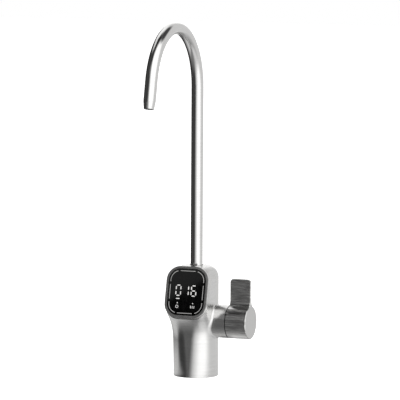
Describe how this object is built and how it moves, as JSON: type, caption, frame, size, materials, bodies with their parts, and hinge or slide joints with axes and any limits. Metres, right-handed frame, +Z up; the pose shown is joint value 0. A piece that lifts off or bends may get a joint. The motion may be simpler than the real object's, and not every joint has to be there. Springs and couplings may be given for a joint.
{
  "type": "smart faucet",
  "caption": "Slim gooseneck filtered-water tap with a tilted lit display on its column and a side knob with an upright lever.",
  "frame": {"origin": "centre of the column's foot, on the deck plane", "axes": "+Z up along the column, -Y the front with the display and the spout's outlet, +X the knob's axis, towards the knob's end"},
  "size_m": [0.0671, 0.1277, 0.2967],
  "materials": {
    "brushed_nickel": "satin brushed nickel plate",
    "dark_bezel": "satin dark grey metal",
    "black_glass": "polished black front glass",
    "light_bars": "milky light guide",
    "lit_digits": "white light-emitting segments",
    "black_plastic": "moulded",
    "circuit_board": "green laminate",
    "brass": "turned",
    "stainless": "turned",
    "black_rubber": "moulded",
    "white_ceramic": "lapped"
  },
  "bodies": {
    "column": {"column_shell": "brushed_nickel", "base_insert": "brass", "base_gasket": "black_rubber", "valve_body": "brass", "supply_stub": "brass", "outlet_tube": "brass", "seat_seal": "black_rubber", "fixed_ceramic_disc": "white_ceramic", "cartridge_body": "brass", "cartridge_nut": "brass", "knob_guide_ring": "black_plastic", "display_bezel": "dark_bezel", "display_seal": "black_rubber", "display_glass": "black_glass", "light_ring": "light_bars", "digit_display": "lit_digits", "indicator_lights": "lit_digits", "display_carrier": "black_plastic", "circuit_board": "circuit_board", "board_screws": "stainless", "cable_socket": "black_plastic", "spout_bushing": "brass", "spout_guide_ring": "black_plastic", "spout_lock_screw": "stainless"},
    "handle": {"handle_knob": "brushed_nickel", "drive_adapter": "brass", "set_screw": "stainless", "set_screw_cap": "brushed_nickel", "spindle": "brass", "spindle_seals": "black_rubber", "moving_ceramic_disc": "white_ceramic"},
    "spout": {"spout_tube": "brushed_nickel", "flow_former": "black_plastic", "spout_root": "brass", "spout_seals": "black_rubber"}
  },
  "joints": [
    {"name": "handle_turn", "type": "hinge", "parent": "column", "child": "handle", "pos_m": [0.04, 0, 0.0465], "axis": [1, 0, 0], "range_deg": [0, 90]},
    {"name": "spout_swivel", "type": "hinge", "parent": "column", "child": "spout", "pos_m": [0, 0, 0.08], "axis": [0, 0, 1], "continuous": true}
  ]
}
